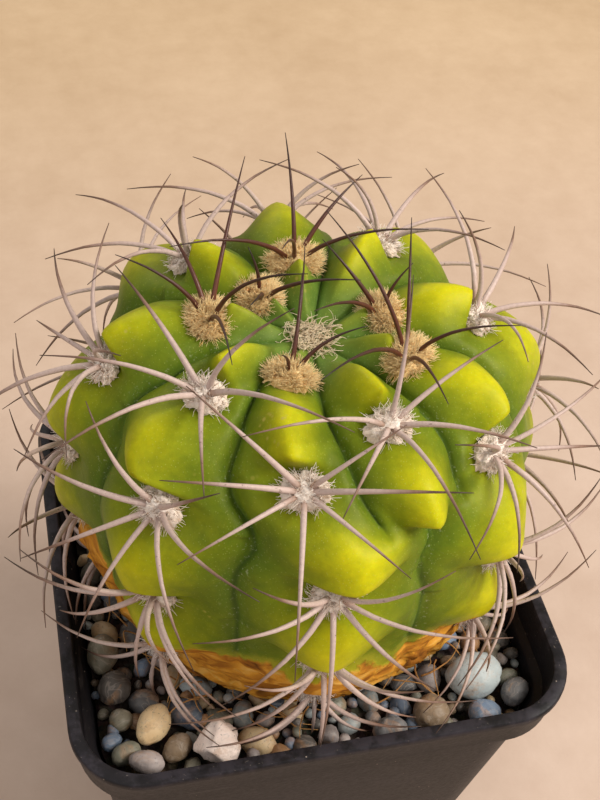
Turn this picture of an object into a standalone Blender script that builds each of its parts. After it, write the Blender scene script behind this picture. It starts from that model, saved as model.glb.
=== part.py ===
"""A round, ribbed cactus grown in a square nursery pot, with a top dressing of pebbles.

Metres, +Z up. The origin is the centre of the underside of the pot, whose sides lie along X and Y.
"""

import math
import random

import bmesh
import bpy
from mathutils import Vector
from mathutils.bvhtree import BVHTree

MM = 0.001
GAP = 0.3  # clearance between neighbouring pieces, in mm like every size below

# Pot: (half width, corner radius, height) of each ring, from the underside out, over the rim and in
POT_HEIGHT = 95.0
POT_RINGS = (
    (34.6, 8.0, 0.0),
    (36.0, 9.0, 1.4),
    (46.2, 12.0, 84.4),
    (48.3, 13.2, 85.2),
    (48.7, 13.4, 86.2),
    (49.3, 13.8, 92.9),
    (50.0, 14.3, 93.5),
    (50.0, 14.3, 94.6),
    (49.6, 14.0, 95.0),
    (47.8, 12.6, 95.0),
    (47.4, 12.3, 94.5),
    (47.0, 12.0, 86.6),
    (45.2, 11.0, 85.8),
    (34.9, 7.6, 3.4),
    (33.6, 6.8, 2.2),
)
CORNER_STEPS = 4
DRAIN_OFFSET = 21.0
DRAIN_RADIUS = 4.5
DRAIN_SIDES = 12

SOIL_RINGS = ((33.2, 6.6, 2.6), (34.4, 7.4, 3.8), (43.5, 10.4, 74.6))
BED_FLOOR = 74.9
BED_TOP = 82.6
BED_LUMP = 0.7
BED_COLUMNS = 40
BED_ROWS = 4
BED_HOLE = 34.2
# Outer edge of the bed at its top and at its underside, as (half width, corner radius)
BED_EDGE = (44.2, 10.6)
BED_FOOT = (43.3, 10.3)

# Stem: crest outline from the growing point down to the buried end, as (radius, height over the rim)
STEM_CENTRE = (1.6, 3.3)
OUTLINE = (
    (0.0, 57.5),
    (7.0, 60.0),
    (17.0, 64.0),
    (28.0, 63.0),
    (38.0, 57.5),
    (45.0, 48.5),
    (48.0, 37.5),
    (48.0, 27.0),
    (47.0, 17.0),
    (45.2, 8.0),
    (42.4, 0.0),
    (38.6, -7.0),
    (31.5, -13.0),
    (18.0, -18.0),
    (0.0, -20.1),
)
OUTLINE_STEPS = 24
STEM_ROWS = 34
COLUMNS_PER_RIB = 8
FURROW_DEPTH = 7.5
MOUND_HEIGHT = 5.0
# A mound climbs and falls over these shares of the way from one areole to the next
MOUND_RISE = (-0.04, 0.58)
MOUND_FALL = (0.76, 0.90)
LAST_MOUND = (0.20, 0.35, 0.90)
# The nose stands out past the crest outline over these shares of the way
NOSE = 1.2
NOSE_RISE = (0.35, 0.72)
NOSE_FALL = (0.76, 0.88)
# The mounds and furrows flatten, then end, between these outline fractions
FLATTENED = (0.54, 0.68)
BURIED = (0.74, 0.86)
USUAL_GAP = 42.0
SKIN_WAVE = 0.35
# Each rib: (azimuth low down, twist towards the crown, heights of its areoles as outline fractions)
RIBS = (
    (48.0, 5.0, (0.21, 0.38, 0.54, 0.68)),
    (88.0, 0.0, (0.125, 0.30, 0.46, 0.61)),
    (128.0, 0.0, (0.08, 0.22, 0.38, 0.53, 0.66)),
    (178.0, -16.0, (0.13, 0.285, 0.43, 0.56, 0.68)),
    (221.0, -18.0, (0.18, 0.335, 0.49, 0.62)),
    (264.0, -28.0, (0.078, 0.255, 0.40, 0.54, 0.66)),
    (287.0, 0.0, (0.185,)),
    (312.0, 18.0, (0.125, 0.295, 0.46, 0.61)),
    (358.0, 14.0, (0.088, 0.235, 0.385, 0.54, 0.67)),
)
SHORT_RIB = 6
SHORT_RIB_END = (0.308, 0.335)
SHORT_RIB_MOUND = 0.16
TWIST_END = 0.40
# Mounds whose nose leans to one side: (rib, areole above it, degrees)
LEANS = (
    (2, 2, 3.0),
    (3, 1, -4.0),
    (4, 0, -7.0),
    (4, 1, -3.0),
    (5, 1, 6.0),
    (7, 0, 6.0),
    (7, 1, -3.0),
    (8, 1, 3.0),
)

# Areoles and spines
PAD_RADIUS = 3.3
PAD_HEIGHT = 2.4
NEWEST = 0.10
SPINE_RADIUS = 0.56
SPINE_TIP = 0.13
SPINE_SECTIONS = 4
SPINE_FATTENING = 1.25  # of a three-sided spine, to fill out the round one
SPINE_TRIMS = (1.0, 0.9, 0.8, 0.65)
PAD_TRIES = 24
YOUNG = 0.17
SPINE_LENGTH = (21.0, 29.0)
SPINE_WANDER = 7.0
BOW = 14.0
# For each side of a pad: (degrees from straight down, 1 if a spine grows, length factor, rise in degrees)
SPINES_NEWEST = (
    (0, 1, 0.42, 62),
    (51, 0, 0, 0),
    (103, 1, 0.60, 66),
    (154, 0, 0, 0),
    (206, 1, 0.74, 70),
    (257, 1, 0.55, 64),
    (309, 0, 0, 0),
)
SPINES_YOUNG = (
    (0, 1, 0.80, 50),
    (51, 0, 0, 0),
    (103, 1, 1.02, 46),
    (154, 1, 0.98, 68),
    (206, 0, 0, 0),
    (257, 1, 1.04, 46),
    (309, 1, 0.80, 40),
)
SPINES_RISING = (
    (0, 1, 1.05, 36),
    (51, 1, 0.90, 34),
    (103, 1, 1.05, 36),
    (154, 1, 0.90, 62),
    (206, 0, 0, 0),
    (257, 1, 1.05, 36),
    (309, 1, 0.90, 34),
)
SPINES_GROWN = (
    (0, 1, 1.00, 30),
    (48, 1, 0.90, 30),
    (88, 1, 1.05, 36),
    (128, 1, 0.88, 42),
    (232, 1, 0.88, 42),
    (272, 1, 1.05, 36),
    (312, 1, 0.90, 30),
)
SPINES_OLDEST = (
    (0, 1, 0.85, 34),
    (54, 1, 0.78, 36),
    (100, 1, 0.88, 38),
    (154, 0, 0, 0),
    (206, 0, 0, 0),
    (260, 1, 0.88, 38),
    (306, 1, 0.78, 36),
)
STAGES = ((NEWEST, SPINES_NEWEST), (YOUNG, SPINES_YOUNG), (0.24, SPINES_RISING), (0.62, SPINES_GROWN))
# Turns and lifts, in degrees, tried in this order until a spine clears its neighbours
DODGES = (
    (0, 0),
    (5, 0),
    (-5, 0),
    (0, 8),
    (8, 6),
    (-8, 6),
    (0, 15),
    (12, 10),
    (-12, 10),
    (0, 24),
)

# Tangle of wool over the growing point
CROWN_RADIUS = 6.0
CROWN_SIDES = 12
CROWN_HEIGHT = 1.5

# Loose pebbles: (x, y, long radius, width ratio, height ratio, turn in degrees, roughness)
PEBBLES = (
    (-33.5, -33.5, 4.6, 0.68, 0.66, 54.0, 0.0),
    (-22.0, -40.0, 4.7, 0.86, 0.80, 20.0, 0.16),
    (-39.6, -30.4, 2.5, 0.88, 0.80, 0.0, 0.02),
    (-42.0, -34.6, 2.1, 0.80, 0.75, 30.0, 0.02),
    (-39.6, -38.0, 2.8, 0.80, 0.80, 20.0, 0.02),
    (-36.0, -41.6, 3.3, 0.72, 0.75, -20.0, 0.0),
    (-29.6, -38.6, 3.4, 0.72, 0.70, 40.0, 0.02),
    (32.6, -34.6, 6.3, 0.74, 0.66, 8.0, 0.0),
    (22.0, -40.2, 4.1, 0.85, 0.75, 60.0, 0.02),
    (32.6, -42.2, 3.4, 0.80, 0.75, -10.0, 0.02),
    (40.4, -38.4, 3.2, 0.85, 0.80, 40.0, 0.0),
    (12.6, -42.2, 3.3, 0.80, 0.75, 0.0, 0.05),
    (-41.6, -16.0, 4.2, 0.78, 0.75, 80.0, 0.03),
    (-40.0, -23.6, 3.8, 0.85, 0.75, 60.0, 0.0),
    (38.0, 39.0, 5.2, 0.80, 0.65, 30.0, 0.0),
    (-37.0, 38.5, 5.0, 0.75, 0.70, 120.0, 0.05),
)
PEBBLE_CLIMBS = 30


def smooth(a, b, x):
    t = min(max((x - a) / (b - a), 0.0), 1.0)
    return t * t * (3.0 - 2.0 * t)


def curve_through(points, steps):
    """Catmull-Rom curve through the points, ending on the last one."""
    out = []
    for i in range(len(points) - 1):
        p0 = points[max(i - 1, 0)]
        p1 = points[i]
        p2 = points[i + 1]
        p3 = points[min(i + 2, len(points) - 1)]
        for k in range(steps):
            t = k / steps
            out.append(tuple(blend(t, *around) for around in zip(p0, p1, p2, p3)))
    out.append(points[-1])
    return out


def blend(t, a, b, c, d):
    """One coordinate of a Catmull-Rom curve between b and c."""
    second = 2 * a - 5 * b + 4 * c - d
    third = 3 * b - a - 3 * c + d
    return 0.5 * (2 * b + (c - a) * t + second * t * t + third * t**3)


OUTLINE_CURVE = curve_through(OUTLINE, OUTLINE_STEPS)
ARC = [0.0]
for first, second in zip(OUTLINE_CURVE, OUTLINE_CURVE[1:]):
    ARC.append(ARC[-1] + math.dist(first, second))


def outline_at(s):
    """(radius, height, outward normal in the radial plane) at a fraction of the outline's length."""
    want = min(max(s, 0.0), 1.0) * ARC[-1]
    k = 0
    while k < len(ARC) - 2 and ARC[k + 1] < want:
        k += 1
    (r0, z0), (r1, z1) = OUTLINE_CURVE[k], OUTLINE_CURVE[k + 1]
    span = ARC[k + 1] - ARC[k]
    t = (want - ARC[k]) / span
    normal = (-(z1 - z0) / span, (r1 - r0) / span)
    return r0 + (r1 - r0) * t, z0 + (z1 - z0) * t, normal


def rib_azimuth(rib, s):
    low, twist, heights = RIBS[rib]
    azimuth = low + twist * (1.0 - smooth(0.0, TWIST_END, s))
    for leaning, step, lean in LEANS:
        if leaning == rib and heights[step] < s < heights[step + 1]:
            v = (s - heights[step]) / (heights[step + 1] - heights[step])
            azimuth += lean * smooth(0.05, 0.58, v) * (1.0 - smooth(0.66, 0.98, v))
    return azimuth


def mound_along(rib, s):
    """(how far the mound has risen, its nose, position from one areole to the next)."""
    heights = RIBS[rib][2]
    length, fade, end = LAST_MOUND
    above = 0.0
    below = heights[0]
    for k, h in enumerate(heights):
        if s >= h:
            above = h
            last = h + (SHORT_RIB_MOUND if rib == SHORT_RIB else length)
            below = heights[k + 1] if k + 1 < len(heights) else last
    v = min((s - above) / (below - above), 1.0)
    rise = smooth(MOUND_RISE[0], MOUND_RISE[1], v)
    fall = 1.0 - smooth(MOUND_FALL[0], MOUND_FALL[1], v)
    nose = smooth(NOSE_RISE[0], NOSE_RISE[1], v) * (1.0 - smooth(NOSE_FALL[0], NOSE_FALL[1], v))
    if above == heights[-1] and rib != SHORT_RIB:
        fall = 1.0 - smooth(fade, end, v)
        nose = 0.0
    return rise * fall, nose, v


def sink(ribs, azimuth, s):
    """How far below the crest outline the skin lies, in mm, with only these ribs."""
    centres = [rib_azimuth(rib, s) for rib in ribs]
    radius = outline_at(s)[0]
    for k, rib in enumerate(ribs):
        other = ribs[(k + 1) % len(ribs)]
        gap = (centres[(k + 1) % len(ribs)] - centres[k]) % 360.0
        along = (azimuth - centres[k]) % 360.0
        if along <= gap:
            break
    near = rib if 2.0 * along <= gap else other
    d = min(2.0 * along / gap, 2.0 - 2.0 * along / gap)
    mound, nose, v = mound_along(near, s)
    flat = 1.0 - smooth(FLATTENED[0], FLATTENED[1], s)
    spread = min(d * (1.06 - 0.06 * smooth(0.1, 0.8, v)), 1.0)
    depth = min(FURROW_DEPTH * (gap / USUAL_GAP) ** 0.5, 0.42 * radius) * (0.35 + 0.65 * flat)
    depth *= 1.0 - 0.30 * smooth(0.28, 0.55, s)
    rounded = 1.0 - math.sqrt(1.0 - (0.985 * spread) ** 2)
    groove = depth * (0.40 * rounded + 0.60 * spread**5)
    lift = MOUND_HEIGHT * (0.40 + 0.60 * flat) * min(radius / 14.0, 1.0)
    hump = mound * (1.0 - smooth(0.02, 1.0 - 0.38 * smooth(0.45, 0.95, v), spread))
    stand = NOSE * nose * (1.0 - spread) ** 2 * flat * min(radius / 20.0, 1.0)
    inward = groove + lift * (1.0 - spread**2.5 - hump) - stand
    return inward * (1.0 - smooth(BURIED[0], BURIED[1], s))


ALL_RIBS = tuple(range(len(RIBS)))
LONG_RIBS = tuple(k for k in ALL_RIBS if k != SHORT_RIB)


def stem_point(azimuth, s):
    """The skin at an azimuth in degrees and a fraction of the outline, in mm in the pot's frame."""
    r, z, normal = outline_at(s)
    end = smooth(SHORT_RIB_END[0], SHORT_RIB_END[1], s)
    inward = 0.0
    if end < 1.0:
        inward += (1.0 - end) * sink(ALL_RIBS, azimuth, s)
    if end > 0.0:
        inward += end * sink(LONG_RIBS, azimuth, s)
    a = math.radians(azimuth)
    inward += SKIN_WAVE * math.sin(3.0 * a + 11.0 * s) * math.sin(9.0 * s)
    r -= inward * normal[0]
    z -= inward * normal[1]
    return Vector((STEM_CENTRE[0] + r * math.cos(a), STEM_CENTRE[1] + r * math.sin(a), POT_HEIGHT + z))


def clear_scene():
    for obj in list(bpy.data.objects):
        bpy.data.objects.remove(obj, do_unlink=True)


def material(name, colour, roughness, metallic=0.0):
    made = bpy.data.materials.new(name)
    made.use_nodes = True
    shader = made.node_tree.nodes["Principled BSDF"]
    shader.inputs["Base Color"].default_value = (*colour, 1.0)
    shader.inputs["Roughness"].default_value = roughness
    shader.inputs["Metallic"].default_value = metallic
    return made


def add_object(name, bm, finish):
    """A named object from a mesh whose points are in mm."""
    bmesh.ops.scale(bm, vec=(MM, MM, MM), verts=bm.verts)
    mesh = bpy.data.meshes.new(name)
    bm.to_mesh(mesh)
    obj = bpy.data.objects.new(name, mesh)
    obj.data.materials.append(finish)
    bpy.context.scene.collection.objects.link(obj)
    return obj


def rounded_ring(half, radius, height, steps=CORNER_STEPS):
    """Points around a rounded square, anticlockwise."""
    points = []
    for corner in range(4):
        turn = math.pi / 2 * corner
        cx = (half - radius) * (1, -1, -1, 1)[corner]
        cy = (half - radius) * (1, 1, -1, -1)[corner]
        for k in range(steps + 1):
            a = turn + math.pi / 2 * k / steps
            points.append((cx + radius * math.cos(a), cy + radius * math.sin(a), height))
    return points


def lofted(rings):
    """A closed body through rings of equal counts, capped at both ends."""
    bm = bmesh.new()
    loops = [[bm.verts.new(p) for p in ring] for ring in rings]
    count = len(loops[0])
    for lower, upper in zip(loops, loops[1:]):
        for k in range(count):
            j = (k + 1) % count
            bm.faces.new((lower[k], lower[j], upper[j], upper[k]))
    bm.faces.new(loops[0][::-1])
    bm.faces.new(loops[-1])
    bmesh.ops.recalc_face_normals(bm, faces=bm.faces)
    return bm


def build_pot():
    bm = lofted([rounded_ring(*ring) for ring in POT_RINGS])
    pot = add_object("pot", bm, material("pot_plastic", (0.012, 0.010, 0.012), 0.42))
    cutter = bmesh.new()
    for sx in (-1, 1):
        for sy in (-1, 1):
            made = bmesh.ops.create_cone(
                cutter,
                cap_ends=True,
                segments=DRAIN_SIDES,
                radius1=DRAIN_RADIUS,
                radius2=DRAIN_RADIUS,
                depth=12.0,
            )
            bmesh.ops.translate(cutter, verts=made["verts"], vec=(sx * DRAIN_OFFSET, sy * DRAIN_OFFSET, 0.0))
    holes = add_object("drain_cutter", cutter, pot.data.materials[0])
    holes.hide_render = True
    holes.display_type = "WIRE"
    cut = pot.modifiers.new("drain_holes", "BOOLEAN")
    cut.operation = "DIFFERENCE"
    cut.solver = "EXACT"
    cut.object = holes
    return pot


def build_soil():
    bm = lofted([rounded_ring(*ring) for ring in SOIL_RINGS])
    return add_object("soil", bm, material("potting_soil", (0.045, 0.030, 0.020), 0.95))


def edge_of_square(azimuth, half, radius):
    """Distance from the pot's centre to a rounded square's side at this azimuth."""
    c = abs(math.cos(azimuth))
    s = abs(math.sin(azimuth))
    straight = half / max(c, s)
    if min(c, s) * straight <= half - radius:
        return straight
    inner = half - radius
    along = inner * (c + s)
    return along + math.sqrt(max(along * along - 2 * inner * inner + radius * radius, 0.0))


def build_bed():
    """The packed gravel under the loose pebbles: a ring round the foot of the stem."""
    bm = bmesh.new()
    grid = []
    for i in range(BED_COLUMNS):
        a = 2 * math.pi * i / BED_COLUMNS
        inner = (STEM_CENTRE[0] + BED_HOLE * math.cos(a), STEM_CENTRE[1] + BED_HOLE * math.sin(a))
        reach = edge_of_square(a, *BED_EDGE)
        outer = (reach * math.cos(a), reach * math.sin(a))
        low_reach = edge_of_square(a, *BED_FOOT)
        low = (low_reach * math.cos(a), low_reach * math.sin(a))
        column = [bm.verts.new((*inner, BED_FLOOR))]
        for j in range(BED_ROWS + 1):
            t = j / BED_ROWS
            x = inner[0] + (outer[0] - inner[0]) * t
            y = inner[1] + (outer[1] - inner[1]) * t
            lump = math.sin(0.83 * x + 1.0) * math.cos(0.71 * y) + 0.6 * math.sin(1.9 * x - 1.3 * y)
            column.append(bm.verts.new((x, y, BED_TOP + BED_LUMP * lump)))
        column.append(bm.verts.new((*low, BED_FLOOR)))
        grid.append(column)
    for i, column in enumerate(grid):
        after = grid[(i + 1) % BED_COLUMNS]
        for j in range(len(column)):
            k = (j + 1) % len(column)
            bm.faces.new((column[j], column[k], after[k], after[j]))
    bmesh.ops.recalc_face_normals(bm, faces=bm.faces)
    bmesh.ops.triangulate(bm, faces=bm.faces)
    return add_object("gravel_bed", bm, material("gravel", (0.17, 0.15, 0.14), 0.85))


def build_stem():
    bm = bmesh.new()
    rows = []
    for j in range(1, STEM_ROWS):
        s = j / STEM_ROWS
        row = []
        for rib in ALL_RIBS:
            start = rib_azimuth(rib, s)
            gap = (rib_azimuth((rib + 1) % len(RIBS), s) - start) % 360.0
            for k in range(COLUMNS_PER_RIB):
                row.append(bm.verts.new(stem_point(start + gap * k / COLUMNS_PER_RIB, s)))
        rows.append(row)
    count = len(rows[0])
    top = bm.verts.new(stem_point(0.0, 0.0))
    bottom = bm.verts.new(stem_point(0.0, 1.0))
    for k in range(count):
        j = (k + 1) % count
        bm.faces.new((top, rows[0][k], rows[0][j]))
        bm.faces.new((bottom, rows[-1][j], rows[-1][k]))
    for upper, lower in zip(rows, rows[1:]):
        for k in range(count):
            j = (k + 1) % count
            bm.faces.new((upper[k], lower[k], lower[j], upper[j]))
    bmesh.ops.recalc_face_normals(bm, faces=bm.faces)
    bmesh.ops.triangulate(bm, faces=bm.faces)
    tree = BVHTree.FromBMesh(bm)
    return add_object("stem", bm, material("stem_skin", (0.24, 0.34, 0.03), 0.45)), tree


def tree_of(obj):
    """A search tree of an object's modelled mesh, in mm."""
    bm = bmesh.new()
    bm.from_mesh(obj.data)
    bmesh.ops.scale(bm, vec=(1 / MM, 1 / MM, 1 / MM), verts=bm.verts)
    tree = BVHTree.FromBMesh(bm)
    bm.free()
    return tree


def build_pebbles(obstacles):
    """Rounded stones lying loose on the bed between the stem and the pot's wall."""
    finish = material("pebble_stone", (0.36, 0.35, 0.34), 0.6)
    for number, (x, y, length, wide, high, turn, rough) in enumerate(PEBBLES, 1):
        for climb in range(PEBBLE_CLIMBS):
            z = BED_TOP + length * high + 0.3 * climb
            place = (Vector((x, y, z)), math.radians(turn), number, rough)
            loose = BVHTree.FromBMesh(pebble(length, wide, high, GAP, *place))
            if not any(loose.overlap(tree) for tree in obstacles):
                break
        bm = pebble(length, wide, high, 0.0, *place)
        obstacles.append(BVHTree.FromBMesh(bm))
        add_object(f"pebble_{number:02d}", bm, finish)


def pebble(length, wide, high, extra, centre, turn, seed, rough):
    """A worn stone; extra fattens it for testing clearances."""
    bm = bmesh.new()
    bmesh.ops.create_icosphere(bm, subdivisions=2, radius=1.0)
    cos, sin = math.cos(turn), math.sin(turn)
    for vert in bm.verts:
        v = vert.co.copy()
        swell = 1.0 + 0.05 * math.sin(3.1 * v.x + seed) + 0.05 * math.cos(2.7 * v.y - seed)
        swell += rough * math.sin(5.3 * v.x + seed) * math.cos(6.1 * v.z - 4.0 * v.y)
        x = v.x * (length * swell + extra)
        y = v.y * (length * wide * swell + extra)
        z = v.z * (length * high * swell + extra)
        vert.co = (centre.x + x * cos - y * sin, centre.y + x * sin + y * cos, centre.z + z)
    bmesh.ops.recalc_face_normals(bm, faces=bm.faces)
    return bm


def areole_frame(rib, s):
    """(point on the skin, outward, downward along the rib, sideways) at an areole."""
    azimuth = rib_azimuth(rib, s)
    at = stem_point(azimuth, s)
    normal = outline_at(s)[2]
    a = math.radians(azimuth)
    out = Vector((normal[0] * math.cos(a), normal[0] * math.sin(a), normal[1])).normalized()
    down = Vector((normal[1] * math.cos(a), normal[1] * math.sin(a), -normal[0])).normalized()
    side = out.cross(down)
    return at, out, down, side


def spine_plan(s):
    """The stage of growth of an areole at this height."""
    for end, plan in STAGES:
        if s < end:
            return plan
    return SPINES_OLDEST


def spine_path(root, heading, out, length, rise):
    """Points along one spine, which leaves the pad steeply and bows back towards the stem."""
    steep = math.radians(rise + BOW)
    shallow = math.radians(rise - BOW)
    middle = root + length * 0.50 * (heading * math.cos(steep) + out * math.sin(steep))
    tip = root + length * (heading * math.cos(shallow) + out * math.sin(shallow))
    path = []
    for k in range(SPINE_SECTIONS + 1):
        t = k / SPINE_SECTIONS
        path.append(root * (1 - t) ** 2 + middle * 2 * t * (1 - t) + tip * t * t)
    return path


def ring_round(path, k, radius, out):
    """Three points round a spine at one step of its path."""
    before = path[max(k - 1, 0)]
    after = path[min(k + 1, len(path) - 1)]
    along = (after - before).normalized()
    across = along.cross(out).normalized()
    upward = across.cross(along)
    points = []
    for corner in range(3):
        a = math.radians(120.0 * corner + 90.0)
        points.append(path[k] + radius * (across * math.cos(a) - upward * math.sin(a)))
    return points


def spine_radius(t):
    return SPINE_RADIUS + (SPINE_TIP - SPINE_RADIUS) * t**1.4


def tube(path, out, extra, first=0):
    """A closed tube round the path, fattened by extra, for testing clearances."""
    bm = bmesh.new()
    loops = []
    for k in range(first, len(path)):
        radius = 2.0 * (spine_radius(k / (len(path) - 1)) * 0.8 + extra)
        loops.append([bm.verts.new(p) for p in ring_round(path, k, radius, out)])
    for lower, upper in zip(loops, loops[1:]):
        for k in range(3):
            j = (k + 1) % 3
            bm.faces.new((lower[k], lower[j], upper[j], upper[k]))
    bm.faces.new(loops[0])
    bm.faces.new(loops[-1])
    tree = BVHTree.FromBMesh(bm)
    bm.free()
    return tree


def pad_points(at, out, down, side, plan, stem_tree, lift, size):
    """Rings of a woolly pad that follows the skin below it."""
    angles = [math.radians(entry[0]) for entry in plan]
    low, low_top = [], []
    count = len(angles)
    for k in range(count):
        before = angles[k - 1] - (2 * math.pi if k == 0 else 0.0)
        a = (before + angles[k]) / 2
        ray = down * math.cos(a) + side * math.sin(a)
        low.append(seat(at + ray * PAD_RADIUS * size, out, stem_tree) + out * lift)
    for a in angles:
        ray = down * math.cos(a) + side * math.sin(a)
        spot = at + ray * PAD_RADIUS * 0.62 * size
        low_top.append(seat(spot, out, stem_tree) + out * (lift + PAD_HEIGHT * 0.8 * size))
    foot = seat(at, out, stem_tree) + out * lift
    crown = foot + out * (PAD_HEIGHT * 1.15 * size)
    return low, low_top, foot, crown


def seat(point, out, stem_tree):
    hit = stem_tree.ray_cast(point + out * 5.0, -out, 14.0)[0]
    return hit if hit is not None else point - out * 1.0


def build_areole(number, rib, s, stem_tree, obstacles, finish):
    """One areole: its pad of wool and the spines that grow out of it, as one body."""
    at, out, down, side = areole_frame(rib, s)
    plan = spine_plan(s)
    size = 1.0 if s > NEWEST else 0.85
    count = len(plan)
    for step in range(PAD_TRIES):
        lift = GAP + 0.15 * step
        bm = bmesh.new()
        low, shoulder, foot, crown = pad_points(at, out, down, side, plan, stem_tree, lift, size)
        low = [bm.verts.new(p) for p in low]
        shoulder = [bm.verts.new(p) for p in shoulder]
        foot = bm.verts.new(foot)
        crown = bm.verts.new(crown)
        sides = []
        for k in range(count):
            j = (k + 1) % count
            sides.append(bm.faces.new((low[k], low[j], shoulder[k])))
            bm.faces.new((shoulder[k], low[j], shoulder[j]))
            bm.faces.new((shoulder[k], shoulder[j], crown))
            bm.faces.new((low[j], low[k], foot))
        bm.normal_update()
        if not BVHTree.FromBMesh(bm).overlap(stem_tree):
            break
        bm.free()
    rng = random.Random(100 + number)
    own = []
    for k, (angle, grows, factor, rise) in enumerate(plan):
        if not grows:
            continue
        face = sides[k]
        corners = list(face.verts)
        middle = (corners[0].co + corners[1].co + corners[2].co) / 3.0
        length = rng.uniform(*SPINE_LENGTH) * factor
        wander = rng.uniform(-SPINE_WANDER, SPINE_WANDER)
        path = clear_path(middle, out, down, side, angle + wander, length, rise, obstacles, own)
        if path is None:
            continue
        own.append(tube(path, out, GAP * 0.3, first=1))
        bm.faces.remove(face)
        loops = [corners]
        for step in range(1, len(path)):
            radius = SPINE_FATTENING * spine_radius(step / (len(path) - 1))
            ring = ring_round(path, step, radius, out)
            loops.append([bm.verts.new(p) for p in match_ring(loops[-1], ring)])
        for lower, upper in zip(loops, loops[1:]):
            for a in range(3):
                b = (a + 1) % 3
                bm.faces.new((lower[a], lower[b], upper[b], upper[a]))
        bm.faces.new(loops[-1])
    bmesh.ops.recalc_face_normals(bm, faces=bm.faces)
    bmesh.ops.triangulate(bm, faces=bm.faces)
    obstacles.append(BVHTree.FromBMesh(bm))
    return add_object(f"areole_{number:02d}", bm, finish)


def build_crown(stem_tree, obstacles, finish):
    """The low cap of wool on the growing point, seated on the skin."""
    out = Vector((0.0, 0.0, 1.0))
    middle = stem_point(0.0, 0.0)
    for step in range(20):
        lift = GAP + 0.1 * step
        bm = bmesh.new()
        rings = []
        for reach, thick in ((1.0, 0.0), (0.9, 0.7), (0.5, 1.0)):
            ring = []
            for k in range(CROWN_SIDES):
                a = 2 * math.pi * k / CROWN_SIDES
                far = CROWN_RADIUS * reach * (1.0 + 0.12 * math.sin(3 * a))
                spot = middle + Vector((far * math.cos(a), far * math.sin(a), 3.0))
                ring.append(bm.verts.new(seat(spot, out, stem_tree) + out * (lift + CROWN_HEIGHT * thick)))
            rings.append(ring)
        foot = bm.verts.new(seat(middle, out, stem_tree) + out * lift)
        top = bm.verts.new(seat(middle, out, stem_tree) + out * (lift + CROWN_HEIGHT))
        for k in range(CROWN_SIDES):
            j = (k + 1) % CROWN_SIDES
            bm.faces.new((rings[0][j], rings[0][k], foot))
            bm.faces.new((rings[2][k], rings[2][j], top))
            for lower, upper in zip(rings, rings[1:]):
                bm.faces.new((lower[k], lower[j], upper[j], upper[k]))
        bmesh.ops.recalc_face_normals(bm, faces=bm.faces)
        bmesh.ops.triangulate(bm, faces=bm.faces)
        tree = BVHTree.FromBMesh(bm)
        if not tree.overlap(stem_tree):
            break
        bm.free()
    obstacles.append(tree)
    return add_object("crown_wool", bm, finish)


def match_ring(previous, ring):
    """The ring in the order and the sense that faces the previous loop corner to corner."""
    spots = [v.co for v in previous]
    best = None
    for order in (ring, ring[::-1]):
        for shift in range(3):
            turned = order[shift:] + order[:shift]
            spread = sum((a - b).length for a, b in zip(spots, turned))
            if best is None or spread < best[0]:
                best = (spread, turned)
    return best[1]


def clear_path(root, out, down, side, angle, length, rise, obstacles, own):
    """The first path near the wanted one that clears every other piece."""
    for trim in SPINE_TRIMS:
        for turn, tip_up in DODGES:
            a = math.radians(angle + turn)
            heading = down * math.cos(a) + side * math.sin(a)
            path = spine_path(root, heading, out, length * trim, rise + tip_up)
            test = tube(path, out, GAP, first=1)
            if not any(test.overlap(tree) for tree in obstacles + own):
                return path
    return None


def main():
    clear_scene()
    pot = build_pot()
    soil = build_soil()
    bed = build_bed()
    stem, stem_tree = build_stem()
    obstacles = [tree_of(pot), tree_of(soil), tree_of(bed), stem_tree]
    build_pebbles(obstacles)
    build_crown(stem_tree, obstacles, material("wool", (0.62, 0.55, 0.45), 0.95))
    grown = material("spine_grown", (0.46, 0.34, 0.28), 0.5)
    young = material("spine_young", (0.16, 0.045, 0.03), 0.45)
    number = 0
    for rib, (_, _, heights) in enumerate(RIBS):
        for s in heights:
            number += 1
            build_areole(number, rib, s, stem_tree, obstacles, young if s < YOUNG else grown)


main()
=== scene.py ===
"""A round cactus in a square nursery pot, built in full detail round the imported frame."""

import math
import random

import bmesh
import bpy
import numpy as np
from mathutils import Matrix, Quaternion, Vector, noise
from mathutils.bvhtree import BVHTree


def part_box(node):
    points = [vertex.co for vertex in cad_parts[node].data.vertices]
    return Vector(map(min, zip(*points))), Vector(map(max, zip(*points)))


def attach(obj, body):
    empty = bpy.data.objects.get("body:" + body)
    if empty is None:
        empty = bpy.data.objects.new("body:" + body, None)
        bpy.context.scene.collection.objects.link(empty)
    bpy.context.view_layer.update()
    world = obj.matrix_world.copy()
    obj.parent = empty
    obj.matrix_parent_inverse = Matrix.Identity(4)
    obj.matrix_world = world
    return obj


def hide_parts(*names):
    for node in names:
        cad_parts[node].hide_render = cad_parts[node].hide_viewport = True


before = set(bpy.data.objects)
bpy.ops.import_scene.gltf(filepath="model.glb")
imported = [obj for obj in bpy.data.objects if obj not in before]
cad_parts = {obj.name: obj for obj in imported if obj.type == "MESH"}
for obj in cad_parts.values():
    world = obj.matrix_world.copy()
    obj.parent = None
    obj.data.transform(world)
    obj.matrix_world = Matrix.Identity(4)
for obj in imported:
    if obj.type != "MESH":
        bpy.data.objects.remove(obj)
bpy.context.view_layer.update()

MM = 0.001  # every size below is in millimetres
POT_HEIGHT = 95.0

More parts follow.
